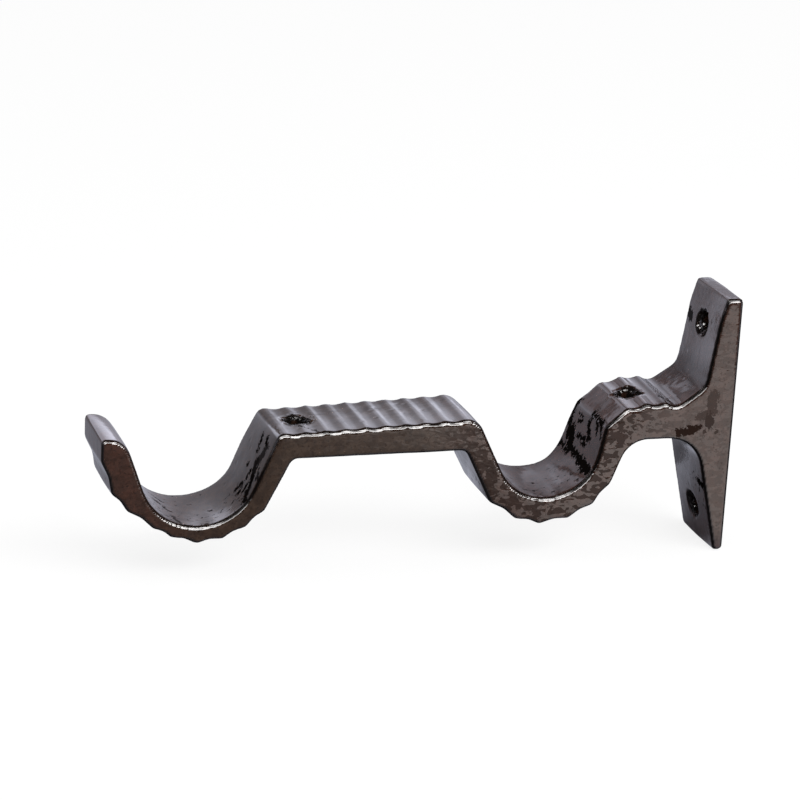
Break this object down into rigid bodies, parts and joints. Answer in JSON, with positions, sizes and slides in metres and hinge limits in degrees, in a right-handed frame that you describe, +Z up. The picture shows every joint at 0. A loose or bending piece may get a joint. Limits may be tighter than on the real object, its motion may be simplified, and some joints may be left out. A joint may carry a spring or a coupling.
{
  "type": "curtain pole bracket",
  "caption": "Curtain pole bracket: a hammered cast arm with open seats for a front and a back pole, a ridged bridge between them and a tapered wall plate with countersunk screw holes.",
  "frame": {"origin": "middle of the wall plate's flat back, half way between its screw holes", "axes": "+X out from the wall along the arm, +Y along the poles, +Z up"},
  "size_m": [0.1847, 0.025, 0.076],
  "materials": {
    "lacquered_iron": "gloss"
  },
  "bodies": {
    "root": {"bracket": "lacquered_iron"}
  },
  "joints": []
}
